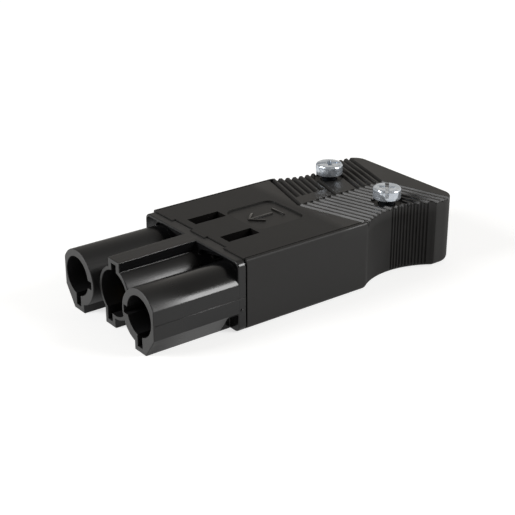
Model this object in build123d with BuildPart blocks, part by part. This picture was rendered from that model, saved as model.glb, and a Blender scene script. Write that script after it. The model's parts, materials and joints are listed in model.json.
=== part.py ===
from build123d import *

import os
from math import atan2, cos, degrees, hypot, radians, sin, sqrt, tan

# Flat three-pole installation plug, lying on its wide face.
# X runs across the poles, Y from the shroud mouths (-Y) to the cable end (+Y), Z up.
# The origin is at the bottom centre of the whole plug. All sizes are in millimetres.

# Poles and shrouds
POLE_PITCH = 10.0
SHROUD_REACH = 18.9
EARTH_SETBACK = 1.4
SHROUD_RADIUS = 4.93
SHROUD_SHIFT = 0.38
SHROUD_SAG = 0.35
BORE_RADIUS = 3.65
EARTH_RADIUS = 4.85
EARTH_BORE = 4.2
FLAT_WALL = 0.65
FLAT_DROP = 2.9
FOOT_OUTER = 1.6
FOOT_INNER = 1.7
KEY_WIDTH = 1.5
KEY_FLOOR = 0.95
KEY_WALL = 0.55
KEY_DROP = 0.3
CREST_WIDTH = 3.5
CREST_SHIFT = 0.15
CREST_DROP = 0.25
CREST_WALL = 0.7
EARTH_FOOT_WIDTH = 3.2
EARTH_FOOT_SHIFT = 1.7
MOUTH_ROUND = 0.18

# Flange and carrier body
FLANGE = 1.45
SEAM_GAP = 0.35
SEAM_DEPTH = 0.5
FLANGE_DROP = 0.2
FLANGE_ROUND = 1.2
FLANGE_EDGE = 0.2
RIM = 0.4
RIM_ROUND = 1.0
RIM_SKIN = 0.3
RECESS_DEPTH = 2.35
RAMP = 1.3
CENTRE_BAR = 5.6
BAR_DROP = 1.0
BAR_TAPER = 5.2
LATCH_WIDTH = 3.4
LATCH_HEIGHT = 2.6
LATCH_GAP = 0.3
RELIEF_LENGTH = 2.1
RELIEF_HEIGHT = 3.3
CARRIER_DEPTH = 14.5
CARRIER_FLOOR = 1.2
CARRIER_GAP = 0.15
FRONT_WALL = 1.8

# Housing
HOUSING_LENGTH = 49.4
BODY_HEIGHT = 13.3
SIDE_WALL = 1.2
REAR_WALL = 2.2
FLOOR = 1.5
LID = 1.6
LIP = 0.8
LID_REACH = 0.2
LID_GAP = 0.12
WALL_EDGE = 0.55
LID_SEAM = 0.3
BOTTOM_ROUND = 1.2
WALL_ROUND = 0.45
LIP_ROUND = 0.3
REAR_ROUND = 3.0
WAIST_DEPTH = 2.75
WAIST_LENGTH = 17.2
REAR_FLARE = 5.2
WAIST_BLEND = 1.0
FLARE_BLEND = 2.4

# Grip: fine upright grooves on the flare, chevron grooves on the cover
GRIP_COUNT = 12
GRIP_PITCH = 0.68
GRIP_RADIUS = 0.2
RIB_SETBACK = 26.7
RIB_PITCH = 1.45
RIB_ANGLE = 16.3
GROOVE_WIDTH = 1.0
GROOVE_FLOOR = 0.36
GROOVE_DEPTH = 0.55
RIB_ROUND = 0.1
RIB_COUNT = 15
FRONT_FIELD = 3.2
FRONT_FIELD_RIBS = (1, 5)
REAR_FIELD = 6.0
REAR_FIELD_RIBS = (7, 3)

# Cover openings
WINDOW_SPACING = 10.0
WINDOW_WIDTH = 2.8
WINDOW_LENGTH = 6.7
WINDOW_SETBACK = 2.0
PATCH_SIZE = 10.8
PATCH_SETBACK = 9.3
PATCH_ROUND = 1.8
PATCH_DEPTH = 0.3
NOTCH_WIDTH = 5.8
NOTCH_DEPTH = 0.5

# Cable end
CABLE_RADIUS = 4.5
SLOT_MARGIN = 1.5
SCREW_SETBACK = 12.4
SCREW_EDGE = 3.25
BOSS_RADIUS = 3.0
BOSS_GAP = 0.3
SADDLE_WIDTH = 1.2
SADDLE_HEIGHT = 3.0
SADDLE_SPACING = 7.6
PRESS_RIB = 1.5

# Cover screws, standing proud of their counterbores
SCREW_RADIUS = 1.5
SCREW_LENGTH = 11.0
HEAD_RADIUS = 2.7
HEAD_HEIGHT = 2.1
HEAD_ROUND = 0.6
SCREW_STANDOFF = 0.6
DRIVE_WIDTH = 0.8
DRIVE_DEPTH = 1.0
THREAD_GAP = 0.05
HOLE_GAP = 0.2
COUNTERBORE_GAP = 0.2
COUNTERBORE_DEPTH = 0.6

# Contacts and terminals
PIN_RADIUS = 1.75
PIN_RECESS = 7.5
EARTH_LEAD = 1.5
PIN_TIP_ROUND = 0.9
PIN_ROOT_RADIUS = 1.95
PIN_GAP = 0.05
COLLAR_RADIUS = 2.2
COLLAR = 1.2
TAIL_WIDTH = 2.7
TAIL_THICKNESS = 1.2
TAIL_REAR = 2.1
CHAMBER_WIDTH = 4.6
CLAMP_WIDTH = 4.3
CLAMP_WALL = 0.7
CLAMP_TOP = 1.5
CLAMP_LENGTH = 5.6
CLAMP_REAR = 3.5
TERMINAL_SCREW_RADIUS = 1.25
TERMINAL_HEAD_RADIUS = 2.0
TERMINAL_HEAD = 1.5
TERMINAL_STANDOFF = 0.4
TERMINAL_HEAD_GAP = 0.2

# Places worked out from the sizes above
HALF_WIDTH = POLE_PITCH + BORE_RADIUS + FLAT_WALL
FRONT_Y = (SHROUD_REACH - HOUSING_LENGTH) / 2
REAR_Y = FRONT_Y + HOUSING_LENGTH
MOUTH_Y = FRONT_Y - SHROUD_REACH
EARTH_MOUTH_Y = MOUTH_Y + EARTH_SETBACK
AXIS_HEIGHT = BODY_HEIGHT / 2
LID_Z = BODY_HEIGHT - LID
LIP_Z = BODY_HEIGHT - LIP

WAIST_Y = REAR_Y - REAR_FLARE - WAIST_LENGTH / 2
WAIST_HALF = HALF_WIDTH - WAIST_DEPTH
WAIST_RADIUS = ((WAIST_LENGTH / 2) ** 2 + WAIST_DEPTH**2) / (2 * WAIST_DEPTH)
WAIST_CENTRE_X = WAIST_HALF + WAIST_RADIUS
LIP_START_Y = WAIST_Y - WAIST_LENGTH / 2

FLANGE_TOP = BODY_HEIGHT - FLANGE_DROP
CREST_TOP = FLANGE_TOP - CREST_DROP
FLANGE_BACK_Y = FRONT_Y - SEAM_GAP
FLANGE_FRONT_Y = FLANGE_BACK_Y - FLANGE
RECESS_FLOOR_Y = FLANGE_FRONT_Y + RECESS_DEPTH
CHAMBER_FRONT_Y = RECESS_FLOOR_Y + FRONT_WALL
CARRIER_HALF = HALF_WIDTH - SIDE_WALL - CARRIER_GAP
CARRIER_BACK_Y = FRONT_Y + CARRIER_DEPTH
CHAMBER_FLOOR_Z = FLOOR + CARRIER_FLOOR

SCREW_X = WAIST_HALF - SCREW_EDGE
SCREW_Y = REAR_Y - SCREW_SETBACK
HEAD_Z = BODY_HEIGHT + SCREW_STANDOFF
SLOT_HALF = CABLE_RADIUS + SLOT_MARGIN

TAIL_TOP_Z = AXIS_HEIGHT + TAIL_THICKNESS / 2
TERMINAL_HEAD_Z = LID_Z - TERMINAL_HEAD_GAP - TERMINAL_HEAD
CLAMP_TOP_Z = TERMINAL_HEAD_Z - TERMINAL_STANDOFF
TAIL_BACK_Y = CARRIER_BACK_Y - TAIL_REAR
CLAMP_BACK_Y = CARRIER_BACK_Y - CLAMP_REAR
CLAMP_Y = CLAMP_BACK_Y - CLAMP_LENGTH / 2
POLES = {"line": -POLE_PITCH, "earth": 0.0, "neutral": POLE_PITCH}


def across(y):
    """Upright plane across the plug at length y, with local x along +X, local y up and extrusion forward."""
    return Plane.XZ.offset(-y)


def plan_outline(inset, front_y, rear_y):
    """Waisted plan of the housing, drawn in from its outer faces, between two lengths."""
    half = HALF_WIDTH - inset
    radius = WAIST_RADIUS + inset
    reach = sqrt(radius**2 - (WAIST_CENTRE_X - half) ** 2)
    with BuildSketch() as plan:
        with BuildLine():
            Line((half, front_y), (half, WAIST_Y - reach))
            ThreePointArc(
                (half, WAIST_Y - reach),
                (WAIST_CENTRE_X - radius, WAIST_Y),
                (half, WAIST_Y + reach),
            )
            Line((half, WAIST_Y + reach), (half, rear_y))
            mirror(about=Plane.YZ)
            Line((-half, front_y), (half, front_y))
            Line((-half, rear_y), (half, rear_y))
        make_face()
        levels = plan.vertices().group_by(Axis.Y)
        fillet(levels[1], WAIST_BLEND)
        fillet(levels[2], FLARE_BLEND)
        fillet(plan.vertices().group_by(Axis.Y)[-1], REAR_ROUND - inset)
    return plan.sketch


def grip_grooves():
    """Fine upright grooves along the flare of both sides, in plan."""
    step = degrees(GRIP_PITCH / WAIST_RADIUS)
    span = step * (GRIP_COUNT - 1)
    first = 180 - span
    with BuildSketch() as grooves:
        with Locations((WAIST_CENTRE_X, WAIST_Y)):
            with PolarLocations(WAIST_RADIUS, GRIP_COUNT, first, span, endpoint=True):
                Circle(GRIP_RADIUS)
        mirror(about=Plane.YZ)
    return grooves.sketch


def chevron_groove():
    """Section of one chevron groove about its centre, with its crests rounded into the deck."""
    with BuildSketch() as groove:
        with BuildLine():
            FilletPolyline(
                (-RIB_PITCH / 2, 0),
                (-GROOVE_WIDTH / 2, 0),
                (-GROOVE_FLOOR / 2, -GROOVE_DEPTH),
                (GROOVE_FLOOR / 2, -GROOVE_DEPTH),
                (GROOVE_WIDTH / 2, 0),
                (RIB_PITCH / 2, 0),
                radius=RIB_ROUND,
            )
            Polyline((RIB_PITCH / 2, 0), (RIB_PITCH / 2, LIP), (-RIB_PITCH / 2, LIP), (-RIB_PITCH / 2, 0))
        make_face()
    return groove.sketch


def outer_shroud():
    """Section of the right-hand shroud about its pole axis: body thicker inwards, outer flat, keyed foot."""
    flat = BORE_RADIUS + FLAT_WALL
    with BuildSketch() as section:
        with Locations((-SHROUD_SHIFT / 2, -SHROUD_SAG / 2)):
            SlotCenterToCenter(
                hypot(SHROUD_SHIFT, SHROUD_SAG),
                2 * SHROUD_RADIUS,
                rotation=degrees(atan2(SHROUD_SAG, SHROUD_SHIFT)),
            )
        with BuildLine():
            Polyline(
                (-FOOT_INNER, 0),
                (flat, 0),
                (flat, -FLAT_DROP),
                (FOOT_OUTER, -AXIS_HEIGHT),
                (-FOOT_INNER, -AXIS_HEIGHT),
                close=True,
            )
        make_face()
        with Locations((flat, 0)):
            Rectangle(SHROUD_RADIUS, 2 * AXIS_HEIGHT, align=(Align.MIN, Align.CENTER), mode=Mode.SUBTRACT)
    return section.sketch


def earth_shroud():
    """Section of the middle shroud about its pole axis: round body, crest on top and offset foot."""
    with BuildSketch() as section:
        Circle(EARTH_RADIUS)
        with Locations((CREST_SHIFT, 0)):
            Rectangle(CREST_WIDTH, CREST_TOP - AXIS_HEIGHT, align=(Align.CENTER, Align.MIN))
        with Locations((-EARTH_FOOT_SHIFT, 0)):
            Rectangle(EARTH_FOOT_WIDTH, AXIS_HEIGHT, align=(Align.CENTER, Align.MAX))
    return section.sketch


def outer_bore():
    """Bore of the right-hand shroud with its floor key and its side key towards the middle."""
    side_key = SHROUD_SHIFT + SHROUD_RADIUS - KEY_WALL
    with BuildSketch() as bore:
        Circle(BORE_RADIUS)
        Rectangle(KEY_WIDTH, AXIS_HEIGHT - KEY_FLOOR, align=(Align.CENTER, Align.MAX))
        with Locations((0, -KEY_DROP)):
            Rectangle(side_key, KEY_WIDTH, align=(Align.MAX, Align.CENTER))
    return bore.sketch


def earth_bore():
    """Bore of the middle shroud with its crest key and its offset foot key."""
    with BuildSketch() as bore:
        Circle(EARTH_BORE)
        with Locations((CREST_SHIFT, 0)):
            Rectangle(KEY_WIDTH, CREST_TOP - CREST_WALL - AXIS_HEIGHT, align=(Align.CENTER, Align.MIN))
        with Locations((-EARTH_FOOT_SHIFT, 0)):
            Rectangle(KEY_WIDTH, AXIS_HEIGHT - KEY_FLOOR, align=(Align.CENTER, Align.MAX))
    return bore.sketch


def recess_section(half, top):
    """Right-hand recess of the flange, under a bar that deepens to the centre, clear of the outer shroud."""
    with BuildSketch() as recess:
        with BuildLine():
            FilletPolyline(
                (CENTRE_BAR / 2, AXIS_HEIGHT),
                (CENTRE_BAR / 2, top - BAR_DROP),
                (CENTRE_BAR / 2 + BAR_TAPER, top),
                (half, top),
                (half, AXIS_HEIGHT),
                radius=RIM_ROUND,
                close=True,
            )
        make_face()
        with Locations((POLE_PITCH, AXIS_HEIGHT)):
            add(outer_shroud(), mode=Mode.SUBTRACT)
    return recess.sketch


# Contact carrier: shrouds, flange and terminal chambers in one moulding
with BuildPart() as contact_carrier:
    with BuildSketch(across(FLANGE_BACK_Y)):
        with Locations((0, FLANGE_TOP / 2)):
            RectangleRounded(2 * HALF_WIDTH, FLANGE_TOP, FLANGE_ROUND)
    extrude(amount=FLANGE)
    fillet(contact_carrier.faces().sort_by(Axis.Y)[0].edges(), FLANGE_EDGE)
    with BuildSketch(across(FRONT_Y)):
        with Locations((0, (LID_Z + SEAM_DEPTH) / 2)):
            RectangleRounded(2 * (HALF_WIDTH - SEAM_DEPTH), LID_Z - SEAM_DEPTH, FLANGE_ROUND)
    extrude(amount=SEAM_GAP)
    with BuildSketch(across(CARRIER_BACK_Y)):
        with Locations((0, FLOOR)):
            Rectangle(2 * CARRIER_HALF, LID_Z - FLOOR, align=(Align.CENTER, Align.MIN))
    extrude(amount=CARRIER_DEPTH)

    # Rimmed recess on each side of the centre bar, deeper inside its ramps, round the shroud roots
    ramp_depth = FLANGE - RIM_SKIN
    for half, top, depth in (
        (HALF_WIDTH, FLANGE_TOP, ramp_depth),
        (HALF_WIDTH - RAMP, LID_Z + RIM, RECESS_DEPTH),
    ):
        with BuildSketch(across(FLANGE_FRONT_Y)):
            add(recess_section(half - RIM, top - RIM))
            mirror(about=Plane.YZ)
            with Locations((0, AXIS_HEIGHT)):
                add(earth_shroud(), mode=Mode.SUBTRACT)
        extrude(amount=-depth, mode=Mode.SUBTRACT)
    with BuildSketch(Plane.XY.offset(AXIS_HEIGHT)):
        with BuildLine():
            Polyline(
                (HALF_WIDTH - RIM, FLANGE_FRONT_Y),
                (HALF_WIDTH - RIM, FLANGE_FRONT_Y + ramp_depth),
                (HALF_WIDTH - RIM - RAMP, FLANGE_FRONT_Y + ramp_depth),
                close=True,
            )
        make_face()
        mirror(about=Plane.YZ)
    extrude(amount=FLANGE_TOP - RIM - AXIS_HEIGHT)

    # Shrouds: the middle one first, then the outer ones that grow into its sides
    with BuildSketch(across(FLANGE_FRONT_Y)):
        with Locations((0, AXIS_HEIGHT)):
            add(earth_shroud())
    extrude(amount=FLANGE_FRONT_Y - EARTH_MOUTH_Y)
    earth_mouth = contact_carrier.faces().filter_by_position(Axis.Y, EARTH_MOUTH_Y, EARTH_MOUTH_Y)
    fillet(earth_mouth.edges(), MOUTH_ROUND)
    with BuildSketch(Plane.YZ.offset(CREST_SHIFT)):
        with BuildLine():
            Polyline(
                (EARTH_MOUTH_Y + MOUTH_ROUND, CREST_TOP),
                (FLANGE_FRONT_Y + FLANGE_EDGE, CREST_TOP),
                (FLANGE_FRONT_Y + FLANGE_EDGE, FLANGE_TOP),
                close=True,
            )
        make_face()
    extrude(amount=CREST_WIDTH / 2, both=True)
    with BuildSketch(across(FLANGE_FRONT_Y)):
        with Locations((POLE_PITCH, AXIS_HEIGHT)):
            add(outer_shroud())
        mirror(about=Plane.YZ)
    extrude(amount=FLANGE_FRONT_Y - MOUTH_Y)
    mouths = contact_carrier.faces().filter_by_position(Axis.Y, MOUTH_Y, MOUTH_Y)
    fillet(mouths.edges(), MOUTH_ROUND)

    # Relief behind the foot of each outer shroud
    with BuildSketch(across(FLANGE_FRONT_Y)):
        with Locations((POLE_PITCH + FOOT_OUTER, 0)):
            Rectangle(HALF_WIDTH, RELIEF_HEIGHT, align=Align.MIN)
        mirror(about=Plane.YZ)
    extrude(amount=RELIEF_LENGTH, mode=Mode.SUBTRACT)

    # Keyed bores, then the pin holes through the front wall
    with BuildSketch(across(MOUTH_Y)):
        with Locations((POLE_PITCH, AXIS_HEIGHT)):
            add(outer_bore())
        mirror(about=Plane.YZ)
    extrude(amount=MOUTH_Y - FLANGE_FRONT_Y, mode=Mode.SUBTRACT)
    with BuildSketch(across(EARTH_MOUTH_Y)):
        with Locations((0, AXIS_HEIGHT)):
            add(earth_bore())
    extrude(amount=EARTH_MOUTH_Y - FLANGE_FRONT_Y, mode=Mode.SUBTRACT)
    with BuildSketch(across(FLANGE_FRONT_Y)):
        with GridLocations(POLE_PITCH, 0, len(POLES), 1):
            with Locations((0, AXIS_HEIGHT)):
                Circle(PIN_ROOT_RADIUS + PIN_GAP)
    extrude(amount=FLANGE_FRONT_Y - CHAMBER_FRONT_Y, mode=Mode.SUBTRACT)

    # Terminal chambers, open to the rear and the top
    with BuildSketch(across(CARRIER_BACK_Y)):
        with GridLocations(POLE_PITCH, 0, len(POLES), 1):
            with Locations((0, CHAMBER_FLOOR_Z)):
                Rectangle(CHAMBER_WIDTH, LID_Z - CHAMBER_FLOOR_Z, align=(Align.CENTER, Align.MIN))
    extrude(amount=CARRIER_BACK_Y - CHAMBER_FRONT_Y, mode=Mode.SUBTRACT)

    # Latch ways that lead from the recess to the cover windows
    latch_back = FRONT_Y + WINDOW_SETBACK + WINDOW_LENGTH + LATCH_GAP
    with BuildSketch(across(RECESS_FLOOR_Y)):
        with GridLocations(WINDOW_SPACING, 0, 2, 1):
            with Locations((0, LID_Z)):
                Rectangle(LATCH_WIDTH, LATCH_HEIGHT, align=(Align.CENTER, Align.MAX))
    extrude(amount=RECESS_FLOOR_Y - latch_back, mode=Mode.SUBTRACT)

    # Keys in the cover's front notches
    with BuildSketch(across(FRONT_Y + NOTCH_DEPTH - LID_GAP)):
        with Locations((WINDOW_SPACING / 2, LID_Z)):
            Rectangle(NOTCH_WIDTH - 2 * LID_GAP, FLANGE_TOP - LID_Z, align=(Align.CENTER, Align.MIN))
        mirror(about=Plane.YZ)
    extrude(amount=NOTCH_DEPTH - LID_GAP + SEAM_GAP)
contact_carrier.part.label = "contact_carrier"

# Housing base: tray with waisted walls, screw bosses and cable saddle
with BuildPart() as housing_base:
    with BuildSketch():
        add(plan_outline(0, FRONT_Y, REAR_Y))
    extrude(amount=BODY_HEIGHT)
    fillet(housing_base.edges().group_by(Axis.Z)[0].sort_by(Axis.Y)[1:], BOTTOM_ROUND)
    with BuildSketch(Plane.XY.offset(BODY_HEIGHT)):
        with Locations((0, LIP_START_Y)):
            Rectangle(2 * HALF_WIDTH, REAR_Y - LIP_START_Y, align=(Align.CENTER, Align.MIN))
    extrude(amount=-LIP, mode=Mode.SUBTRACT)
    fillet(
        housing_base.edges().group_by(Axis.Z)[-1].filter_by(Axis.Y),
        WALL_ROUND,
    )
    with BuildSketch(Plane.XY.offset(FLOOR)):
        add(plan_outline(SIDE_WALL, FRONT_Y, REAR_Y - REAR_WALL))
    extrude(amount=BODY_HEIGHT - FLOOR, mode=Mode.SUBTRACT)
    with BuildSketch(Plane.XY.offset(LIP_Z)):
        add(plan_outline(WALL_EDGE, FRONT_Y, REAR_Y - REAR_WALL))
    extrude(amount=LIP, mode=Mode.SUBTRACT)

    # Screw bosses, grown into the waist of the walls
    with BuildSketch(Plane.XY.offset(FLOOR)):
        with GridLocations(2 * SCREW_X, 0, 2, 1):
            with Locations((0, SCREW_Y)):
                Circle(BOSS_RADIUS)
    extrude(amount=LID_Z - BOSS_GAP - FLOOR)
    with BuildSketch(Plane.XY.offset(HEAD_Z - SCREW_LENGTH - BOSS_GAP)):
        with GridLocations(2 * SCREW_X, 0, 2, 1):
            with Locations((0, SCREW_Y)):
                Circle(SCREW_RADIUS + THREAD_GAP)
    extrude(amount=BODY_HEIGHT, mode=Mode.SUBTRACT)

    # Cable saddle ribs on the floor
    for rib_y in (SCREW_Y - SADDLE_SPACING / 2, SCREW_Y + SADDLE_SPACING / 2):
        with BuildSketch(across(rib_y + SADDLE_WIDTH / 2)):
            with Locations((0, FLOOR)):
                Rectangle(2 * SLOT_HALF, SADDLE_HEIGHT, align=(Align.CENTER, Align.MIN))
            with Locations((0, AXIS_HEIGHT)):
                Circle(CABLE_RADIUS, mode=Mode.SUBTRACT)
        extrude(amount=SADDLE_WIDTH)

    # Lower half of the cable entry and the slot for the cover's tongue
    with BuildSketch(across(REAR_Y)):
        with Locations((0, AXIS_HEIGHT)):
            Circle(CABLE_RADIUS)
            Rectangle(2 * SLOT_HALF, BODY_HEIGHT, align=(Align.CENTER, Align.MIN))
    extrude(amount=REAR_WALL, mode=Mode.SUBTRACT)

    with BuildSketch():
        add(grip_grooves())
    extrude(amount=BODY_HEIGHT, mode=Mode.SUBTRACT)
housing_base.part.label = "housing_base"

# Housing cover: lid between the front walls, ribbed deck over the rear walls
with BuildPart() as housing_cover:
    with BuildSketch(Plane.XY.offset(LIP_Z)):
        add(plan_outline(0, FRONT_Y, REAR_Y))
    extrude(amount=LIP)
    fillet(housing_cover.edges().group_by(Axis.Z)[-1].sort_by(Axis.Y)[1:], LIP_ROUND)
    with BuildSketch(Plane.XY.offset(LIP_Z)):
        with Locations((0, LIP_START_Y + LID_GAP)):
            Rectangle(2 * HALF_WIDTH, HOUSING_LENGTH, align=(Align.CENTER, Align.MAX))
    extrude(amount=LIP, mode=Mode.SUBTRACT)
    with BuildSketch(Plane.XY.offset(LID_Z)):
        add(plan_outline(SIDE_WALL + LID_GAP, FRONT_Y - LID_REACH, REAR_Y - REAR_WALL - LID_GAP))
    extrude(amount=LID)
    with BuildSketch(Plane.XY.offset(LIP_Z)):
        add(plan_outline(WALL_EDGE + LID_SEAM, FRONT_Y - LID_REACH, REAR_Y - REAR_WALL - LID_GAP))
    extrude(amount=LIP)

    # Tongue that closes the cable entry, and the rib that presses on the cable
    with BuildSketch(across(REAR_Y)):
        with Locations((0, LIP_Z)):
            tongue_drop = LIP_Z - AXIS_HEIGHT - LID_GAP
            Rectangle(2 * (SLOT_HALF - LID_GAP), tongue_drop, align=(Align.CENTER, Align.MAX))
        with Locations((0, AXIS_HEIGHT)):
            Circle(CABLE_RADIUS, mode=Mode.SUBTRACT)
    extrude(amount=REAR_WALL)
    with BuildSketch(across(SCREW_Y + SADDLE_WIDTH / 2)):
        with Locations((0, LID_Z)):
            Rectangle(2 * CABLE_RADIUS, PRESS_RIB, align=(Align.CENTER, Align.MAX))
        with Locations((0, AXIS_HEIGHT)):
            Circle(CABLE_RADIUS, mode=Mode.SUBTRACT)
    extrude(amount=SADDLE_WIDTH)

    # Latch windows, square recess and front notches
    with BuildSketch(Plane.XY.offset(BODY_HEIGHT)):
        with GridLocations(WINDOW_SPACING, 0, 2, 1):
            with Locations((0, FRONT_Y + WINDOW_SETBACK)):
                Rectangle(WINDOW_WIDTH, WINDOW_LENGTH, align=(Align.CENTER, Align.MIN))
            with Locations((0, FRONT_Y + NOTCH_DEPTH)):
                Rectangle(NOTCH_WIDTH, NOTCH_DEPTH + LID_REACH, align=(Align.CENTER, Align.MAX))
    extrude(amount=-LID, mode=Mode.SUBTRACT)
    with BuildSketch(Plane.XY.offset(BODY_HEIGHT)):
        with Locations((0, FRONT_Y + PATCH_SETBACK + PATCH_SIZE / 2)):
            RectangleRounded(PATCH_SIZE, PATCH_SIZE, PATCH_ROUND)
    extrude(amount=-PATCH_DEPTH, mode=Mode.SUBTRACT)

    # Chevron grooves, swept back from the centre line to both edges, with two smooth fields on the far side
    front_first, front_count = FRONT_FIELD_RIBS
    rear_first, rear_count = REAR_FIELD_RIBS
    after_front = front_first + front_count
    after_rear = rear_first + rear_count
    for side, first, count, start in (
        (1, 0, RIB_COUNT, 0),
        (-1, 0, front_first, 0),
        (-1, front_first, front_count, FRONT_FIELD),
        (-1, after_front, rear_first - after_front, 0),
        (-1, rear_first, rear_count, REAR_FIELD),
        (-1, after_rear, RIB_COUNT - after_rear, 0),
    ):
        middle = REAR_Y - RIB_SETBACK + RIB_PITCH * (first + (count - 1) / 2)
        with BuildSketch(Plane.YZ.offset(side * start), mode=Mode.PRIVATE) as chevrons:
            with Locations((middle + start * tan(radians(RIB_ANGLE)), BODY_HEIGHT)):
                with GridLocations(RIB_PITCH, 0, count, 1):
                    add(chevron_groove())
        sweep_back = (side * cos(radians(RIB_ANGLE)), sin(radians(RIB_ANGLE)), 0)
        extrude(chevrons.sketch, amount=2 * HALF_WIDTH, dir=sweep_back, mode=Mode.SUBTRACT)

    with GridLocations(2 * SCREW_X, 0, 2, 1):
        with Locations((0, SCREW_Y, BODY_HEIGHT)):
            CounterBoreHole(SCREW_RADIUS + HOLE_GAP, HEAD_RADIUS + COUNTERBORE_GAP, COUNTERBORE_DEPTH)
    with BuildSketch():
        add(grip_grooves())
    extrude(amount=BODY_HEIGHT, mode=Mode.SUBTRACT)
housing_cover.part.label = "housing_cover"

# Cover screws: pan heads with a cross slot
with BuildPart() as cover_screws:
    with BuildSketch(Plane.XY.offset(HEAD_Z)):
        with GridLocations(2 * SCREW_X, 0, 2, 1):
            with Locations((0, SCREW_Y)):
                Circle(HEAD_RADIUS)
    extrude(amount=HEAD_HEIGHT)
    fillet(cover_screws.edges().group_by(Axis.Z)[-1], HEAD_ROUND)
    with BuildSketch(Plane.XY.offset(HEAD_Z)):
        with GridLocations(2 * SCREW_X, 0, 2, 1):
            with Locations((0, SCREW_Y)):
                Circle(SCREW_RADIUS)
    extrude(amount=-SCREW_LENGTH)
    with BuildSketch(Plane.XY.offset(HEAD_Z + HEAD_HEIGHT)):
        with GridLocations(2 * SCREW_X, 0, 2, 1):
            with Locations((0, SCREW_Y)):
                Rectangle(2 * HEAD_RADIUS, DRIVE_WIDTH)
                Rectangle(DRIVE_WIDTH, HEAD_RADIUS)
    extrude(amount=-DRIVE_DEPTH, mode=Mode.SUBTRACT)
cover_screws.part.label = "cover_screws"

# Terminal screws: slotted heads under the lid, tips on the pin tails
with BuildPart() as terminal_screws:
    with BuildSketch(Plane.XY.offset(TERMINAL_HEAD_Z)):
        with GridLocations(POLE_PITCH, 0, len(POLES), 1):
            with Locations((0, CLAMP_Y)):
                Circle(TERMINAL_HEAD_RADIUS)
    extrude(amount=TERMINAL_HEAD)
    with BuildSketch(Plane.XY.offset(TERMINAL_HEAD_Z + TERMINAL_HEAD)):
        with GridLocations(POLE_PITCH, 0, len(POLES), 1):
            with Locations((0, CLAMP_Y)):
                Rectangle(2 * TERMINAL_HEAD_RADIUS, DRIVE_WIDTH)
    extrude(amount=-TERMINAL_HEAD / 2, mode=Mode.SUBTRACT)
    with BuildSketch(Plane.XY.offset(TAIL_TOP_Z)):
        with GridLocations(POLE_PITCH, 0, len(POLES), 1):
            with Locations((0, CLAMP_Y)):
                Circle(TERMINAL_SCREW_RADIUS)
    extrude(amount=TERMINAL_HEAD_Z - TAIL_TOP_Z)
terminal_screws.part.label = "terminal_screws"


def contact_pin(x, tip_y):
    """Turned pin with a thicker root, a stop collar on the chamber wall and a flat tail for the clamp."""
    with BuildPart() as pin:
        with BuildSketch(across(FLANGE_FRONT_Y)):
            with Locations((x, AXIS_HEIGHT)):
                Circle(PIN_RADIUS)
        extrude(amount=FLANGE_FRONT_Y - tip_y)
        fillet(pin.faces().sort_by(Axis.Y)[0].edges(), PIN_TIP_ROUND)
        with BuildSketch(across(CHAMBER_FRONT_Y)):
            with Locations((x, AXIS_HEIGHT)):
                Circle(PIN_ROOT_RADIUS)
        extrude(amount=CHAMBER_FRONT_Y - FLANGE_FRONT_Y)
        with BuildSketch(across(CHAMBER_FRONT_Y + COLLAR)):
            with Locations((x, AXIS_HEIGHT)):
                Circle(COLLAR_RADIUS)
        extrude(amount=COLLAR)
        with BuildSketch(across(TAIL_BACK_Y)):
            with Locations((x, AXIS_HEIGHT)):
                Rectangle(TAIL_WIDTH, TAIL_THICKNESS)
        extrude(amount=TAIL_BACK_Y - CHAMBER_FRONT_Y - COLLAR)
    return pin.part


def box_clamp(x):
    """Box clamp round the pin's tail, with a threaded top wall for the terminal screw."""
    height = CLAMP_TOP_Z - CHAMBER_FLOOR_Z
    with BuildPart() as clamp:
        with BuildSketch(across(CLAMP_BACK_Y)):
            with Locations((x, CHAMBER_FLOOR_Z)):
                Rectangle(CLAMP_WIDTH, height, align=(Align.CENTER, Align.MIN))
            with Locations((x, CHAMBER_FLOOR_Z + CLAMP_WALL)):
                Rectangle(
                    CLAMP_WIDTH - 2 * CLAMP_WALL,
                    height - CLAMP_WALL - CLAMP_TOP,
                    align=(Align.CENTER, Align.MIN),
                    mode=Mode.SUBTRACT,
                )
        extrude(amount=CLAMP_LENGTH)
        with BuildSketch(Plane.XY.offset(CLAMP_TOP_Z)):
            with Locations((x, CLAMP_Y)):
                Circle(TERMINAL_SCREW_RADIUS + THREAD_GAP)
        extrude(amount=-CLAMP_TOP, mode=Mode.SUBTRACT)
    return clamp.part


os.makedirs("parts", exist_ok=True)
export_step(contact_carrier.part, "parts/contact_carrier.step")
export_step(housing_base.part, "parts/housing_base.step")
export_step(housing_cover.part, "parts/housing_cover.step")
export_step(cover_screws.part, "parts/cover_screws.step")
export_step(terminal_screws.part, "parts/terminal_screws.step")
for pole, pole_x in POLES.items():
    lead = EARTH_LEAD if pole == "earth" else 0.0
    pin_part = contact_pin(pole_x, MOUTH_Y + PIN_RECESS - lead)
    pin_part.label = f"{pole}_pin"
    export_step(pin_part, f"parts/{pole}_pin.step")
    clamp_part = box_clamp(pole_x)
    clamp_part.label = f"{pole}_clamp"
    export_step(clamp_part, f"parts/{pole}_clamp.step")
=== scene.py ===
"""Looks of a flat three-pole installation plug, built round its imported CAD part.

Sizes are in millimetres, as in the CAD source, and become metres where Blender takes them.
X runs across the poles, Y from the shroud mouths to the cable end, Z up from the underside.
"""

import json
import logging
import math
from collections.abc import Callable
from dataclasses import dataclass
from enum import Enum

import bpy
from mathutils import Matrix, Vector

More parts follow.
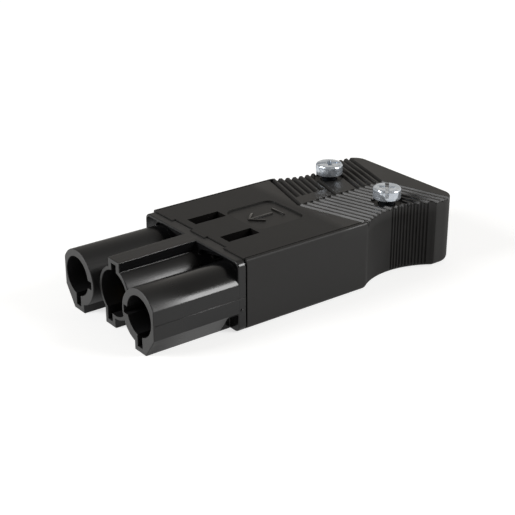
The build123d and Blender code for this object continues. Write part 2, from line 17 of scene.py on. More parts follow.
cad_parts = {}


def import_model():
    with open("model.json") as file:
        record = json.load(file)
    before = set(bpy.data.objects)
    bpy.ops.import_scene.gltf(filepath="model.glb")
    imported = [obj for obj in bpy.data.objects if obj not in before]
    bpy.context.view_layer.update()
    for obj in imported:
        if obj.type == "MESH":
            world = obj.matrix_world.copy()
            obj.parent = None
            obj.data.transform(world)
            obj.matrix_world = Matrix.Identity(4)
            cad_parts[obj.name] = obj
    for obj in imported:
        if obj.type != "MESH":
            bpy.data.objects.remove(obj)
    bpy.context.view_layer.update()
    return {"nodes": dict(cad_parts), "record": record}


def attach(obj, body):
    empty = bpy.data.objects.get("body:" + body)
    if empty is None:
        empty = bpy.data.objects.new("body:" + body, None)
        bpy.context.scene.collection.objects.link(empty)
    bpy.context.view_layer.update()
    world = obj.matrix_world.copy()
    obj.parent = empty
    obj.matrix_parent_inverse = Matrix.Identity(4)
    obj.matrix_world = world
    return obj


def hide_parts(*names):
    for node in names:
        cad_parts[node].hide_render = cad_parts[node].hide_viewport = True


LOG = logging.getLogger("plug")
MM = 0.001
# How near to a plane a point counts as lying on it
TOUCH = 0.01
# Least part of a unit vector along an axis that counts as pointing that way
ALIGNED = 0.9
# How far the roughness of a finish field varies either way, as a share of itself
FIELD_SPREAD = 0.15
# Length in which Blender's wave texture repeats at a scale of 1
WAVE_LENGTH = math.tau / 20

Material = bpy.types.Material
Piece = bpy.types.Object
Socket = bpy.types.NodeSocket
Tree = bpy.types.NodeTree
Triple = tuple[float, float, float]
Range = tuple[float, float]


class Pick(Enum):
    """What a selection in edit mode is made of."""

    EDGES = "EDGE"
    FACES = "FACE"


def metres(*sizes: float) -> tuple[float, ...]:
    """Give sizes in millimetres as metres."""
    return tuple(size * MM for size in sizes)


def linear(colour: str) -> tuple[float, float, float, float]:
    """Turn an sRGB colour into the linear one that shaders take.

    Args:
        colour: Six hex digits after a hash sign.

    Returns:
        Linear red, green and blue, with an alpha of 1.
    """
    parts = [int(colour[at : at + 2], 16) / 255 for at in (1, 3, 5)]
    red, green, blue = (
        part / 12.92 if part <= 0.04045 else ((part + 0.055) / 1.055) ** 2.4 for part in parts
    )
    return red, green, blue, 1.0


def add_node(
    tree: Tree, kind: str, inputs: dict[str | int, object] | None = None, **settings: object
) -> bpy.types.Node:
    """Add a node with its settings, values and links.

    Args:
        tree: Node tree that takes the node.
        kind: Blender's type name, without the ShaderNode in front.
        inputs: What each socket takes, by name or number: a value, or the output to link.
        **settings: Properties of the node itself.

    Returns:
        The new node.
    """
    made = tree.nodes.new("ShaderNode" + kind)
    for name, value in settings.items():
        setattr(made, name, value)
    for key, value in (inputs or {}).items():
        if isinstance(value, Socket):
            tree.links.new(value, made.inputs[key])
        else:
            made.inputs[key].default_value = value
    return made


def noise(tree: Tree, place: Socket, size: float, detail: float) -> Socket:
    """Add an even noise pattern.

    Args:
        tree: Node tree of the material.
        place: Socket with Object coordinates.
        size: Rough size of one grain of the pattern.
        detail: How many finer layers lie over it.

    Returns:
        A socket between 0 and 1.
    """
    scale = 1 / (size * MM)
    made = add_node(tree, "TexNoise", {"Vector": place, "Scale": scale, "Detail": detail})
    return made.outputs["Fac"]


def spread(tree: Tree, value: Socket, ends: Range, over: Range = (0.0, 1.0)) -> Socket:
    """Stretch a value from one range to another.

    Args:
        tree: Node tree of the material.
        value: Socket with the value.
        ends: Ends of the new range.
        over: Ends of the old range, where the value is cut off.

    Returns:
        A socket with the stretched value.
    """
    inputs = {
        "Value": value,
        "From Min": over[0],
        "From Max": over[1],
        "To Min": ends[0],
        "To Max": ends[1],
    }
    return add_node(tree, "MapRange", inputs).outputs["Result"]


def tinted(tree: Tree, share: Socket, colours: tuple[str, str]) -> Socket:
    """Mix two colours.

    Args:
        tree: Node tree of the material.
        share: Socket with the share of the second colour.
        colours: The colours, as sRGB hex.

    Returns:
        A socket with the mixed colour.
    """
    first, second = (linear(colour) for colour in colours)
    # The node has sockets of the same name for each kind of value, so they go by number.
    made = add_node(tree, "Mix", {0: share, 6: first, 7: second}, data_type="RGBA")
    return made.outputs[2]


def mixed(tree: Tree, share: Socket, first: Socket, second: Socket | float) -> Socket:
    """Mix two values.

    Args:
        tree: Node tree of the material.
        share: Socket with the share of the second value.
        first: Socket with the first value.
        second: The second value, or a socket with it.

    Returns:
        A socket with the mixed value.
    """
    return add_node(tree, "Mix", {0: share, 2: first, 3: second}).outputs[0]


def reckon(tree: Tree, operation: str, *values: Socket | float) -> Socket:
    """Add a math node and give the socket with its result."""
    return add_node(tree, "Math", dict(enumerate(values)), operation=operation).outputs["Value"]


def reckon_vector(tree: Tree, operation: str, *values: Socket | Triple) -> Socket:
    """Add a vector math node and give the socket with its result."""
    made = add_node(tree, "VectorMath", dict(enumerate(values)), operation=operation)
    return made.outputs["Vector"]


def bumped(
    tree: Tree, height: Socket, strength: float, depth: float, under: Socket | None = None
) -> Socket:
    """Add a fine relief to a surface.

    Args:
        tree: Node tree of the material.
        height: Socket with the relief, from 0 to 1.
        strength: How much of the relief shows.
        depth: Depth of the relief.
        under: Socket with the normal that the relief lies on, or None for the surface's own.

    Returns:
        A socket with the normal of the relief.
    """
    inputs = {"Height": height, "Strength": strength, "Distance": depth * MM}
    if under is not None:
        inputs["Normal"] = under
    return add_node(tree, "Bump", inputs).outputs["Normal"]


def seen_rays(tree: Tree, mirrored: float) -> Socket:
    """Pick out the rays by which the background is seen, straight or in a reflection.

    Args:
        tree: Node tree of the floor's material.
        mirrored: How much a ray that comes by a reflection counts.

    Returns:
        A socket that is 1 for what the camera sees, the given share in reflections, else 0.
    """
    path = add_node(tree, "LightPath").outputs
    glossy = reckon(tree, "MAXIMUM", path["Is Glossy Ray"], path["Is Transmission Ray"])
    return reckon(tree, "MULTIPLY_ADD", glossy, mirrored, path["Is Camera Ray"])


def new_material(name: str) -> tuple[Material, Tree, Socket]:
    """Make a material with nothing but Object coordinates in its tree.

    Args:
        name: Name of the real material.

    Returns:
        The material, its tree and the socket with the coordinates.
    """
    material = bpy.data.materials.new(name)
    material.use_nodes = True
    tree = material.node_tree
    tree.nodes.clear()
    return material, tree, add_node(tree, "TexCoord").outputs["Object"]


def finish_material(tree: Tree, inputs: dict[str | int, object]) -> None:
    """Close a material's tree with one principled shader.

    Args:
        tree: The material's tree.
        inputs: What the shader's sockets take.
    """
    shader = add_node(tree, "BsdfPrincipled", inputs)
    add_node(tree, "OutputMaterial", {"Surface": shader.outputs["BSDF"]})


@dataclass(frozen=True)
class FinishField:
    """A box-shaped part of a surface that is smoother or duller than the rest."""

    low: Triple
    high: Triple
    roughness: float
    soft: float = 0.02

    def inside(self, tree: Tree, place: Socket) -> Socket:
        """Tell which points are in the field.

        Args:
            tree: Node tree of the material.
            place: Socket with the points' Object coordinates.

        Returns:
            A socket that rises from 0 at the field's border to 1 inside its soft edge.
        """
        middle = metres(*((a + b) / 2 for a, b in zip(self.low, self.high)))
        half = metres(*((b - a) / 2 for a, b in zip(self.low, self.high)))
        far = reckon_vector(tree, "ABSOLUTE", reckon_vector(tree, "SUBTRACT", place, middle))
        past = reckon_vector(tree, "SUBTRACT", far, half)
        axes = add_node(tree, "SeparateXYZ", {"Vector": past}).outputs
        most = reckon(tree, "MAXIMUM", reckon(tree, "MAXIMUM", axes["X"], axes["Y"]), axes["Z"])
        return spread(tree, most, (0.0, 1.0), (0.0, -self.soft * MM))


def field_roughness(
    tree: Tree, place: Socket, varied: Socket, base: Socket, fields: tuple[FinishField, ...]
) -> Socket:
    """Lay the roughness of some fields over that of the whole surface.

    Args:
        tree: Node tree of the material.
        place: Socket with Object coordinates.
        varied: Socket with the pattern that varies each field a little.
        base: Socket with the roughness outside the fields.
        fields: The fields, later ones over earlier ones.

    Returns:
        A socket with the roughness everywhere.
    """
    for field in fields:
        low, high = (share * field.roughness for share in (1 - FIELD_SPREAD, 1 + FIELD_SPREAD))
        own = spread(tree, varied, (low, high))
        base = mixed(tree, field.inside(tree, place), base, own)
    return base


@dataclass(frozen=True)
class ErodedPlastic:
    """Black polyamide from a spark-eroded steel mould.

    The eroded steel leaves an even, fine grain that spreads every reflection into a soft grey
    sheen, and the melt's flow leaves cloudy differences of sheen some millimetres across. The
    latch windows were cored by polished steel, the square recess by a ground insert, the waist
    is eroded coarser for a better grip, and hands have rubbed the ribs on top smoother.
    """

    name: str = "black polyamide with eroded grain"
    colours: tuple[str, str] = ("#100f0f", "#171615")
    ior: float = 1.5
    roughness: Range = (0.56, 0.66)
    grain: float = 0.28
    grain_detail: float = 2.0
    grain_depth: float = 0.012
    grain_strength: float = 0.5
    cloud: float = 7.0
    cloud_detail: float = 3.0
    fields: tuple[FinishField, ...] = (
        # Latch windows
        FinishField((3.55, -13.3, 9.0), (6.45, -6.5, 13.26), 0.09),
        FinishField((-6.45, -13.3, 9.0), (-3.55, -6.5, 13.26), 0.09),
        # Square recess
        FinishField((-5.45, -6.0, 12.9), (5.45, 4.9, 13.25), 0.52),
        # Both sides of the waist
        FinishField((8.0, 11.6, -3.0), (20.0, 29.5, 13.2), 0.85, 1.0),
        FinishField((-20.0, 11.6, -3.0), (-8.0, 29.5, 13.2), 0.85, 1.0),
        # Ribs on top
        FinishField((-17.0, 5.6, 11.0), (17.0, 37.0, 16.0), 0.46, 2.0),
    )

    def material(self) -> Material:
        """Build the material.

        Returns:
            The finished material.
        """
        material, tree, place = new_material(self.name)
        cloud = noise(tree, place, self.cloud, self.cloud_detail)
        sheen = spread(tree, cloud, self.roughness)
        # The real grain is about 0.05 mm across, too fine for a picture, so it is drawn coarser.
        grain = noise(tree, place, self.grain, self.grain_detail)
        finish_material(
            tree,
            {
                "Base Color": tinted(tree, cloud, self.colours),
                "Roughness": field_roughness(tree, place, cloud, sheen, self.fields),
                "IOR": self.ior,
                "Normal": bumped(tree, grain, self.grain_strength, self.grain_depth),
            },
        )
        return material


@dataclass(frozen=True)
class PolishedPlastic:
    """Black polyamide from a polished steel mould.

    Polished steel leaves a half-gloss skin that draws a lamp out into a long streak along each
    shroud, and drawing the shrouds off their cores leaves faint lines along the way they came
    out. Plugging in scuffs the shrouds dull near their mouths, one of them along its whole
    length, and most of all on their front faces, which are also painted paler there as painted
    light. Moulded edges are rounded by a fifth of a millimetre, which draws a thin light line
    along them.
    """

    name: str = "black polyamide, half gloss"
    colour: str = "#131314"
    ior: float = 1.5
    roughness: Range = (0.14, 0.24)
    line_across: float = 0.5
    line_along: float = 14.0
    line_detail: float = 2.0
    line_depth: float = 0.006
    line_strength: float = 0.4
    edge: float = 0.2
    edge_samples: int = 6
    front_y: float = -32.6
    front_normal: float = -0.8
    front_roughness: float = 0.52
    # Paler colour painted on the forward-facing faces at the mouths: painted light
    front_painted_light_colour: str = "#3c3c3c"
    fields: tuple[FinishField, ...] = (
        # Far shroud
        FinishField((-18.0, -40.0, -4.0), (-4.2, -17.5, 16.0), 0.46, 1.5),
        # Middle shroud
        FinishField((-4.6, -40.0, -4.0), (4.6, -17.5, 11.9), 0.36, 0.8),
        # Mouths
        FinishField((-22.0, -44.0, -8.0), (22.0, -26.5, 22.0), 0.5, 6.5),
        # Tops of the crest and the flange
        FinishField((-14.5, -33.2, 12.75), (14.5, -15.0, 13.5), 0.43, 0.05),
        # Walls of the crest
        FinishField((1.82, -33.2, 9.5), (1.96, -16.5, 13.06), 0.12),
        FinishField((-1.67, -33.2, 9.5), (-1.53, -16.5, 13.06), 0.12),
    )

    def material(self) -> Material:
        """Build the material.

        Returns:
            The finished material.
        """
        material, tree, place = new_material(self.name)
        across, along = 1 / (self.line_across * MM), 1 / (self.line_along * MM)
        drawn = add_node(tree, "Mapping", {"Vector": place, "Scale": (across, along, across)})
        lines = add_node(
            tree,
            "TexNoise",
            {"Vector": drawn.outputs["Vector"], "Scale": 1.0, "Detail": self.line_detail},
        ).outputs["Fac"]
        sheen = spread(tree, lines, self.roughness)
        blur = field_roughness(tree, place, lines, sheen, self.fields)
        front = self.front(tree, place)
        rounded = add_node(tree, "Bevel", {"Radius": self.edge * MM}, samples=self.edge_samples)
        finish_material(
            tree,
            {
                # Painted light: the forward-facing faces at the mouths take a paler colour, and
                # their scuffing shows in the roughness
                "Base Color": tinted(tree, front, (self.colour, self.front_painted_light_colour)),
                "Roughness": mixed(tree, front, blur, self.front_roughness),
                "IOR": self.ior,
                "Normal": bumped(
                    tree, lines, self.line_strength, self.line_depth, rounded.outputs["Normal"]
                ),
            },
        )
        return material

    def front(self, tree: Tree, place: Socket) -> Socket:
        """Tell which points are on the front faces of the shrouds.

        Args:
            tree: Node tree of the material.
            place: Socket with the points' Object coordinates.

        Returns:
            A socket that is 1 there and 0 elsewhere.
        """
        normal = add_node(tree, "NewGeometry").outputs["True Normal"]
        facing, along = (
            add_node(tree, "SeparateXYZ", {"Vector": vector}).outputs["Y"]
            for vector in (normal, place)
        )
        forward = reckon(tree, "LESS_THAN", facing, self.front_normal)
        at_mouth = reckon(tree, "LESS_THAN", along, self.front_y * MM)
        return reckon(tree, "MULTIPLY", forward, at_mouth)


@dataclass(frozen=True)
class BrightZinc:
    """Steel with bright zinc plating under a clear blue passivation.

    The plating mirrors the room with a cool cast, and its fine crystals blur that mirror and
    scatter part of the light, so the heads look white where a lamp reaches them. Cold heading
    leaves shallow dents in the steel under the plating.
    """

    name: str = "bright zinc plated steel"
    colours: tuple[str, str] = ("#b4c2d2", "#f4f7fa")
    metallic: float = 0.74
    roughness: Range = (0.12, 0.3)
    crystal: float = 0.4
    crystal_detail: float = 4.0
    crystal_depth: float = 0.03
    crystal_strength: float = 0.4
    dent: float = 1.5
    dent_detail: float = 1.0
    dent_depth: float = 0.4
    dent_strength: float = 0.9

    def material(self) -> Material:
        """Build the material.

        Returns:
            The finished material.
        """
        material, tree, place = new_material(self.name)
        crystal = noise(tree, place, self.crystal, self.crystal_detail)
        dents = noise(tree, place, self.dent, self.dent_detail)
        dented = bumped(tree, dents, self.dent_strength, self.dent_depth)
        finish_material(
            tree,
            {
                "Base Color": tinted(tree, crystal, self.colours),
                "Metallic": self.metallic,
                "Roughness": spread(tree, crystal, self.roughness),
                "Normal": bumped(tree, crystal, self.crystal_strength, self.crystal_depth, dented),
            },
        )
        return material


@dataclass(frozen=True)
class PaintedShadeThread:
    """Rolled steel thread, painted dark: painted shade for the shadow under the screw heads.

    Its roughness varies in small patches, which dulls what it mirrors.
    """

    name: str = "steel thread in painted shade"
    # Painted shade: dark to stand for the shadow that the head casts on the shank
    colour: str = "#33363a"
    roughness: Range = (0.4, 0.6)
    patch: float = 0.3
    patch_detail: float = 3.0

    def material(self) -> Material:
        """Build the material.

        Returns:
            The finished material.
        """
        material, tree, place = new_material(self.name)
        patches = noise(tree, place, self.patch, self.patch_detail)
        finish_material(
            tree,
            {
                "Base Color": linear(self.colour),
                "Metallic": 1.0,
                "Roughness": spread(tree, patches, self.roughness),
            },
        )
        return material


@dataclass(frozen=True)
class TurnedBrass:
    """Brass bar, turned on a lathe.

    The tool leaves fine rings round the pin, which spread highlights along its axis.
    """

    name: str = "turned brass"
    colour: str = "#7d6638"
    roughness: Range = (0.3, 0.45)
    ring: float = 0.24
    ring_detail: float = 1.0
    ring_depth: float = 0.006
    ring_strength: float = 0.5
    unevenness: float = 0.6

    def material(self) -> Material:
        """Build the material.

        Returns:
            The finished material.
        """
        material, tree, place = new_material(self.name)
        # Feed marks of about 0.1 mm are too fine for a picture, so they are drawn coarser.
        rings = add_node(
            tree,
            "TexWave",
            {
                "Vector": place,
                "Scale": WAVE_LENGTH / (self.ring * MM),
                "Distortion": self.unevenness,
                "Detail": self.ring_detail,
            },
            bands_direction="Y",
        ).outputs["Fac"]
        finish_material(
            tree,
            {
                "Base Color": linear(self.colour),
                "Metallic": 1.0,
                "Roughness": spread(tree, rings, self.roughness),
                "Normal": bumped(tree, rings, self.ring_strength, self.ring_depth),
            },
        )
        return material


@dataclass(frozen=True)
class PaperSweep:
    """Matt white paper under the plug.

    The paper is white to the eye and in reflections, and still takes the plug's shadow.
    """

    name: str = "matt white paper"
    colour: str = "#b9b9b8"
    white: str = "#ffffff"
    roughness: float = 0.9
    lift: float = 0.68
    mirrored: float = 0.52
    fibre: float = 1.5
    fibre_detail: float = 2.0
    fibre_depth: float = 0.02
    fibre_strength: float = 0.1

    def material(self) -> Material:
        """Build the material.

        Returns:
            The finished material.
        """
        material, tree, place = new_material(self.name)
        fibre = noise(tree, place, self.fibre, self.fibre_detail)
        seen = seen_rays(tree, self.mirrored)
        finish_material(
            tree,
            {
                "Base Color": linear(self.colour),
                "Roughness": self.roughness,
                "Specular IOR Level": 0.0,
                "Emission Color": linear(self.white),
                "Emission Strength": reckon(tree, "MULTIPLY", seen, self.lift),
                "Normal": bumped(tree, fibre, self.fibre_strength, self.fibre_depth),
            },
        )
        return material


def deselect() -> None:
    """Leave edit mode and select nothing."""
    if bpy.context.object and bpy.context.object.mode != "OBJECT":
        bpy.ops.object.mode_set(mode="OBJECT")
    bpy.ops.object.select_all(action="DESELECT")


def activate(piece: Piece) -> None:
    """Select one piece alone and make it the active one.

    Args:
        piece: Piece to work on next.
    """
    deselect()
    piece.select_set(True)
    bpy.context.view_layer.objects.active = piece


def begin(name: str) -> Piece:
    """Name the piece that was just added and put its place into its mesh.

    Args:
        name: Name of the new piece.

    Returns:
        The piece.
    """
    piece = bpy.context.object
    piece.name = name
    piece.data.name = name
    bpy.ops.object.transform_apply(location=True, rotation=True, scale=True)
    return piece


def copy_of(piece: Piece, name: str, turn: float, place: Triple) -> Piece:
    """Copy a piece, turn the copy about Z and move it.

    Args:
        piece: Piece to copy.
        name: Name of the copy.
        turn: Turn in radians.
        place: Where the piece's origin goes.

    Returns:
        The copy.
    """
    activate(piece)
    bpy.ops.object.duplicate()
    copy = bpy.context.object
    copy.rotation_euler.z = turn
    copy.location = metres(*place)
    return begin(name)


def pick(piece: Piece, kind: Pick, wanted: Callable[[Vector, Vector], bool]) -> None:
    """Enter edit mode with only some edges or faces selected.

    Args:
        piece: Piece to work on, the active object.
        kind: Whether edges or faces are picked.
        wanted: Test on an edge's or face's middle, in millimetres, and its direction or normal.
    """
    bpy.ops.object.mode_set(mode="EDIT")
    bpy.ops.mesh.select_mode(type=kind.value)
    bpy.ops.mesh.select_all(action="DESELECT")
    bpy.ops.object.mode_set(mode="OBJECT")
    mesh = piece.data
    if kind is Pick.FACES:
        for face in mesh.polygons:
            face.select = wanted(face.center / MM, face.normal)
    else:
        for edge in mesh.edges:
            start, end = (mesh.vertices[index].co for index in edge.vertices)
            edge.select = wanted((start + end) / 2 / MM, (end - start).normalized())
    bpy.ops.object.mode_set(mode="EDIT")


def bevel(offset: float, segments: int, profile: float = 0.5) -> None:
    """Round the picked edges and leave edit mode.

    Args:
        offset: How far the rounding reaches from an edge.
        segments: Number of facets across it.
        profile: Its shape, where 0.5 is a round.
    """
    bpy.ops.mesh.bevel(offset=offset * MM, segments=segments, profile=profile, affect="EDGES")
    bpy.ops.object.mode_set(mode="OBJECT")


def apply_modifier(piece: Piece, kind: str, **settings: object) -> None:
    """Add a modifier to the active piece and apply it.

    Args:
        piece: Piece to shape, the active object.
        kind: Blender's name of the modifier type.
        **settings: Properties of the modifier.
    """
    modifier = piece.modifiers.new(kind.lower(), kind)
    for name, value in settings.items():
        setattr(modifier, name, value)
    bpy.ops.object.modifier_apply(modifier=modifier.name)


def combine(piece: Piece, other: Piece, operation: str) -> None:
    """Use up a second piece in a boolean operation on a first one.

    Args:
        piece: Piece that stays.
        other: Piece that is added or cut away, and then removed.
        operation: Blender's name of the operation.
    """
    activate(piece)
    apply_modifier(piece, "BOOLEAN", operation=operation, object=other, solver="EXACT")
    bpy.data.objects.remove(other)


def smooth(angle: float) -> None:
    """Shade the selected pieces smooth where faces meet under an angle in degrees."""
    bpy.ops.object.shade_smooth_by_angle(angle=math.radians(angle))


def give(piece: Piece, material: Material) -> None:
    """Make a material the only one of a piece."""
    piece.data.materials.clear()
    piece.data.materials.append(material)


@dataclass
class CoverScrews:
    """The two cheese-head screws that clamp the cover on to the cable."""

    places: tuple[tuple[float, float], ...] = ((8.3, 21.75), (-8.3, 21.75))
    turns: tuple[float, ...] = (138.0, 57.0)
    head_radius: float = 2.62
    head_facets: int = 72
    head_base: float = 13.9
    head_height: float = 2.1
    crown: float = 0.5
    crown_facets: int = 8
    crown_profile: float = 0.56
    foot_round: float = 0.18
    foot_facets: int = 3
    fine_edge: float = 0.05
    fine_edge_angle: float = 40.0
    smooth_angle: float = 32.0
    core_radius: float = 1.22
    length: float = 11.0
    tip: float = 0.4
    tip_taper: float = 0.7
    thread_radius: float = 1.48
    thread_pitch: float = 0.5
    thread_facets: int = 24
    thread_tip_gap: float = 0.6
    thread_head_gap: float = 0.8
    slot_length: float = 6.3
    slot_width: float = 0.8
    slot_depth: float = 1.05
    slot_taper: float = 0.86
    cross_reach: float = 3.1
    plating_reach: float = 0.02

    def build(self) -> list[Piece]:
        """Model one screw on the Z axis and set a copy at each place.

        Returns:
            The screws, near one first.
        """
        head = self.head()
        thread = self.thread()
        activate(head)
        thread.select_set(True)
        bpy.ops.object.join()
        smooth(self.smooth_angle)
        screws = [
            copy_of(head, f"cover_screw_{number}", math.radians(turn), (x, y, 0))
            for number, ((x, y), turn) in enumerate(zip(self.places, self.turns), 1)
        ]
        bpy.data.objects.remove(head)
        return screws

    def head(self) -> Piece:
        """Model the cheese head with its driver slots and the core of the shank.

        Returns:
            The head and core as one piece.
        """
        deselect()
        top = self.head_base + self.head_height
        bpy.ops.mesh.primitive_cylinder_add(
            vertices=self.head_facets,
            radius=self.head_radius * MM,
            depth=self.head_height * MM,
            location=metres(0, 0, self.head_base + self.head_height / 2),
        )
        head = begin("cover_screw")
        pick(head, Pick.EDGES, lambda at, way: at.z > top - TOUCH)
        bevel(self.crown, self.crown_facets, self.crown_profile)
        pick(head, Pick.EDGES, lambda at, way: at.z < self.head_base + TOUCH)
        bevel(self.foot_round, self.foot_facets)
        pick(head, Pick.FACES, lambda at, way: way.z < -ALIGNED)
        bpy.ops.mesh.inset(thickness=(self.head_radius - self.foot_round - self.core_radius) * MM)
        for drop in (self.length - self.tip, self.tip):
            bpy.ops.mesh.extrude_region_move(TRANSFORM_OT_translate={"value": metres(0, 0, -drop)})
        bpy.ops.transform.resize(value=(self.tip_taper, self.tip_taper, 1))
        bpy.ops.object.mode_set(mode="OBJECT")
        self.cut_slot(head, self.slot_length, self.slot_width)
        self.cut_slot(head, self.slot_width, self.cross_reach)
        apply_modifier(
            head,
            "BEVEL",
            width=self.fine_edge * MM,
            segments=2,
            limit_method="ANGLE",
            angle_limit=math.radians(self.fine_edge_angle),
        )
        return head

    def cut_slot(self, head: Piece, length: float, width: float) -> None:
        """Cut one arm of the driver recess, a little narrower at its floor.

        Args:
            head: Screw head to cut.
            length: Size of the arm along X.
            width: Size of the arm along Y.
        """
        deselect()
        bpy.ops.mesh.primitive_cube_add(
            size=1,
            location=metres(0, 0, self.head_base + self.head_height),
            scale=metres(length, width, 2 * self.slot_depth),
        )
        cutter = begin("slot_cutter")
        pick(cutter, Pick.FACES, lambda at, way: way.z < -ALIGNED)
        bpy.ops.transform.resize(value=(self.slot_taper, self.slot_taper, 1))
        combine(head, cutter, "DIFFERENCE")

    def thread(self) -> Piece:
        """Wind the thread round the core.

        Returns:
            The thread as a piece of its own.
        """
        deselect()
        start = self.head_base - self.length + self.thread_tip_gap
        bpy.ops.mesh.primitive_circle_add(
            vertices=3,
            radius=(self.thread_radius - self.core_radius) * MM,
            location=metres(self.core_radius, 0, start),
            rotation=(math.radians(90), math.radians(90), 0),
        )
        thread = begin("thread")
        threaded = self.length - self.thread_tip_gap - self.thread_head_gap
        apply_modifier(
            thread,
            "SCREW",
            axis="Z",
            angle=math.tau,
            screw_offset=self.thread_pitch * MM,
            iterations=int(threaded / self.thread_pitch),
            steps=self.thread_facets,
            render_steps=self.thread_facets,
        )
        bpy.ops.object.mode_set(mode="EDIT")
        bpy.ops.mesh.select_all(action="SELECT")
        bpy.ops.mesh.fill_holes(sides=3)
        bpy.ops.mesh.normals_make_consistent(inside=False)
        bpy.ops.object.mode_set(mode="OBJECT")
        return thread

    def dress(self, screws: list[Piece], zinc: Material, thread: Material) -> None:
        """Plate the heads, paint the threads dark as painted shade and let the screws stand for
        the CAD ones.

        Args:
            screws: The modelled screws.
            zinc: Material of the plating.
            thread: Material of the shank below the head, painted dark as shade.
        """
        border = (self.head_base - self.plating_reach) * MM
        for screw in screws:
            give(screw, zinc)
            # The shank below the head gets a dark material: painted shade for the shadow under the
            # head
            screw.data.materials.append(thread)
            for face in screw.data.polygons:
                face.material_index = int(face.center.z < border)
            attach(screw, "root")
            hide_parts("cover_screws")


@dataclass
class CoverMark:
    """Raised arrow of thin bars in the cover's square recess, which shows the way to plug in."""

    floor: float = 13.0
    rise: float = 0.26
    sunk: float = 0.1
    bar_width: float = 0.46
    edge: float = 0.1
    edge_facets: int = 2
    smooth_angle: float = 40.0
    tip_y: float = -4.2
    stem: float = 5.4
    barb: float = 3.1
    barb_turn: float = 42.0
    foot: float = 3.6
    foot_gap: float = 1.3

    def build(self) -> Piece:
        """Model the arrow's bars and weld them into one piece.

        Returns:
            The arrow.
        """
        turn = math.radians(self.barb_turn)
        side, back = self.barb / 2 * math.sin(turn), self.barb / 2 * math.cos(turn)
        arrow = self.bar("cover_arrow", self.stem, 0.0, 0.0, self.tip_y + self.stem / 2)
        others = [
            self.bar("barb", self.barb, self.barb_turn, -side, self.tip_y + back),
            self.bar("barb", self.barb, -self.barb_turn, side, self.tip_y + back),
            self.bar("foot", self.foot, 90.0, 0.0, self.tip_y + self.stem + self.foot_gap),
        ]
        for other in others:
            combine(arrow, other, "UNION")
        smooth(self.smooth_angle)
        return arrow

    def bar(self, name: str, length: float, turn: float, x: float, y: float) -> Piece:
        """Model one bar with rounded upper edges.

        Args:
            name: Name of the bar.
            length: Size of the bar along Y before it is turned.
            turn: Turn about Z in degrees.
            x: Place of its middle across the poles.
            y: Place of its middle along the plug.

        Returns:
            The bar.
        """
        deselect()
        bpy.ops.mesh.primitive_cube_add(
            size=1,
            location=metres(x, y, self.floor + (self.rise - self.sunk) / 2),
            rotation=(0, 0, math.radians(turn)),
            scale=metres(self.bar_width, length, self.rise + self.sunk),
        )
        bar = begin(name)
        top = self.floor + self.rise
        pick(bar, Pick.EDGES, lambda at, way: at.z > top - TOUCH or abs(way.z) > ALIGNED)
        bevel(self.edge, self.edge_facets)
        return bar

    def dress(self, arrow: Piece, plastic: Material) -> None:
        """Give the arrow its plastic.

        Args:
            arrow: The modelled arrow.
            plastic: Material of the arrow.
        """
        give(arrow, plastic)
        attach(arrow, "root")


@dataclass
class MouldMarks:
    """Mould ridges along the outer shrouds, and a small knob on each side of the flange."""

    side: float = 14.3
    mouth_y: float = -33.8
    flange_y: float = -17.05
    back_y: float = -15.65
    ridge_height: float = 6.35
    ridge_width: float = 0.22
    ridge_rise: float = 0.07
    ridge_round: float = 0.063
    ridge_facets: int = 2
    ridge_smooth_angle: float = 50.0
    knob_height: float = 4.15
    knob_radius: float = 0.34
    knob_rise: float = 0.16
    knob_round: float = 0.136
    knob_round_facets: int = 3
    knob_facets: int = 24
    knob_smooth_angle: float = 40.0

    def build(self) -> list[Piece]:
        """Model the marks of the right side and copy them to both.

        Returns:
            The ridge and the knob of each side.
        """
        marks = []
        for name, made, front_y in (
            ("mould_ridge", self.ridge("mould_ridge"), self.mouth_y),
            ("flange_knob", self.knob("flange_knob"), self.flange_y),
        ):
            place = (0, (front_y + self.back_y) / 2, 0)
            for hand, turn in (("right", 0.0), ("left", math.pi)):
                marks.append(copy_of(made, f"{name}_{hand}", turn, place))
            bpy.data.objects.remove(made)
        return marks

    def ridge(self, name: str) -> Piece:
        """Model one ridge on the right side, with its length centred on the X axis.

        Args:
            name: Name of the ridge.

        Returns:
            The ridge.
        """
        deselect()
        length = self.back_y - self.mouth_y
        bpy.ops.mesh.primitive_cube_add(
            size=1,
            location=metres(self.side, 0, self.ridge_height),
            scale=metres(2 * self.ridge_rise, length, self.ridge_width),
        )
        ridge = begin(name)
        pick(ridge, Pick.EDGES, lambda at, way: at.x > self.side + TOUCH)
        bevel(self.ridge_round, self.ridge_facets)
        smooth(self.ridge_smooth_angle)
        return ridge

    def knob(self, name: str) -> Piece:
        """Model one rounded knob on the right side, centred on the X axis.

        Args:
            name: Name of the knob.

        Returns:
            The knob.
        """
        deselect()
        bpy.ops.mesh.primitive_cylinder_add(
            vertices=self.knob_facets,
            radius=self.knob_radius * MM,
            depth=2 * self.knob_rise * MM,
            location=metres(self.side, 0, self.knob_height),
            rotation=(0, math.radians(90), 0),
        )
        knob = begin(name)
        pick(knob, Pick.EDGES, lambda at, way: at.x > self.side + TOUCH)
        bevel(self.knob_round, self.knob_round_facets)
        smooth(self.knob_smooth_angle)
        return knob

    def dress(self, marks: list[Piece], plastic: Material) -> None:
        """Give the marks the carrier's plastic.

        Args:
            marks: The ridges and knobs.
            plastic: Material of the contact carrier.
        """
        for mark in marks:
            give(mark, plastic)
            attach(mark, "root")


@dataclass(frozen=True)
class SoftLamp:
    """A square soft lamp that faces the plug."""

    name: str
    way: Triple
    distance: float
    size: float
    power: float


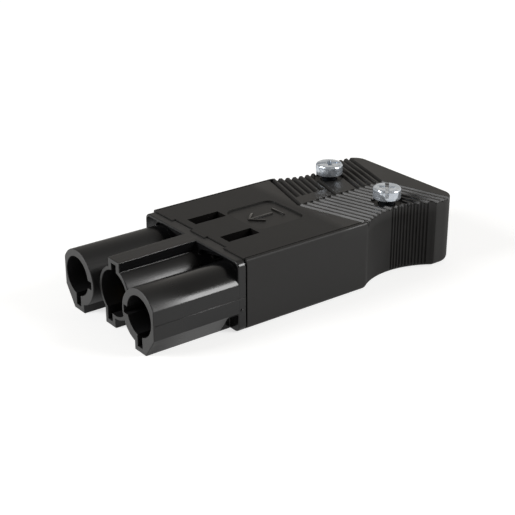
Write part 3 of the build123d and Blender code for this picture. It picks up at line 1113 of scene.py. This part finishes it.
@dataclass
class Studio:
    """White paper floor, plain grey room, soft lamps and the camera."""

    floor_size: float = 3000.0
    room_colour: str = "#fffaf2"
    # Strength at the front and at the back, and the Y of the directions between which it changes
    room_depth: Range = (0.17, 0.59)
    depth_over: Range = (-0.4, 0.6)
    # Share of it low down and overhead, and the Z of the directions between which it changes
    room_height: Range = (1.0, 0.45)
    height_over: Range = (0.3, 0.9)
    lamps: tuple[SoftLamp, ...] = (
        SoftLamp("right_lamp", (0.68, 0.56, 0.47), 900.0, 380.0, 5.0),
        SoftLamp("front_lamp", (-0.3, -0.85, 0.44), 900.0, 420.0, 7.2),
    )
    camera_target: Triple = (-9.136, 4.75, 0.06)
    camera_distance: float = 243.85
    azimuth: float = 52.706
    elevation: float = 23.863
    roll: float = -0.004
    lens: float = 88.12
    sensor: float = 36.0
    clip_start: float = 10.0

    def floor(self, paper: Material) -> None:
        """Lay the paper under the plug.

        Args:
            paper: Material of the floor.
        """
        deselect()
        bpy.ops.mesh.primitive_plane_add(size=self.floor_size * MM, location=(0, 0, 0))
        floor = begin("paper_floor")
        give(floor, paper)

    def surround(self) -> None:
        """Make the room a plain grey, light at the back and darker at the front and overhead."""
        scene = bpy.context.scene
        scene.world = scene.world or bpy.data.worlds.new("studio")
        scene.world.use_nodes = True
        tree = scene.world.node_tree
        tree.nodes.clear()
        toward = add_node(tree, "TexCoord").outputs["Generated"]
        way = add_node(tree, "SeparateXYZ", {"Vector": toward}).outputs
        depth = spread(tree, way["Y"], self.room_depth, self.depth_over)
        height = spread(tree, way["Z"], self.room_height, self.height_over)
        level = reckon(tree, "MULTIPLY", depth, height)
        colour = linear(self.room_colour)
        grey = add_node(tree, "Background", {"Color": colour, "Strength": level})
        add_node(tree, "OutputWorld", {"Surface": grey.outputs["Background"]})

    def light(self) -> None:
        """Hang the soft lamps."""
        for lamp in self.lamps:
            deselect()
            way = Vector(lamp.way).normalized()
            bpy.ops.object.light_add(type="AREA", location=way * lamp.distance * MM)
            hung = bpy.context.object
            hung.name = lamp.name
            hung.rotation_euler = way.to_track_quat("Z", "Y").to_euler()
            hung.data.size = lamp.size * MM
            hung.data.energy = lamp.power

    def camera(self) -> None:
        """Stand the camera where the photograph was taken from."""
        deselect()
        bpy.ops.object.camera_add()
        camera = bpy.context.object
        camera.name = "camera"
        turn, lift, roll = map(math.radians, (self.azimuth, self.elevation, self.roll))
        level = math.cos(lift)
        back = Vector((math.sin(turn) * level, -math.cos(turn) * level, math.sin(lift)))
        right = Vector((math.cos(turn), math.sin(turn), 0))
        up = back.cross(right)
        tilted = math.cos(roll) * right + math.sin(roll) * up
        placed = Matrix((tilted, back.cross(tilted), back)).transposed().to_4x4()
        placed.translation = (Vector(self.camera_target) + back * self.camera_distance) * MM
        camera.matrix_world = placed
        camera.data.sensor_width = self.sensor
        camera.data.lens = self.lens
        camera.data.clip_start = self.clip_start * MM
        bpy.context.scene.camera = camera


def main() -> None:
    """Load the CAD part, dress it, add the modelled pieces and set up the studio."""
    logging.basicConfig(level=logging.INFO, format="%(name)s: %(message)s")
    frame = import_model()
    nodes = frame["nodes"]

    finishes = {
        "housing_plastic": ErodedPlastic().material(),
        "carrier_plastic": PolishedPlastic().material(),
        "zinc_steel": BrightZinc().material(),
        "contact_metal": TurnedBrass().material(),
    }
    for subpart in frame["record"]["subparts"]:
        give(nodes[subpart["node"]], finishes[subpart["material_slot"]])
        LOG.info("%s dressed in %s", subpart["node"], subpart["material_slot"])

    cover_screws = CoverScrews()
    screws = cover_screws.build()
    cover_screws.dress(screws, finishes["zinc_steel"], PaintedShadeThread().material())
    LOG.info("cover screws: %d", len(screws))
    mark = CoverMark()
    polished = ErodedPlastic("black polyamide, polished mark", roughness=(0.14, 0.22), fields=())
    mark.dress(mark.build(), polished.material())
    LOG.info("cover arrow")
    mould_marks = MouldMarks()
    marks = mould_marks.build()
    mould_marks.dress(marks, finishes["carrier_plastic"])
    LOG.info("mould marks: %d", len(marks))

    studio = Studio()
    studio.floor(PaperSweep().material())
    studio.surround()
    studio.light()
    studio.camera()
    bpy.context.scene.view_settings.view_transform = "Standard"

    LOG.info("sizes written")


if __name__ == "__main__":
    main()
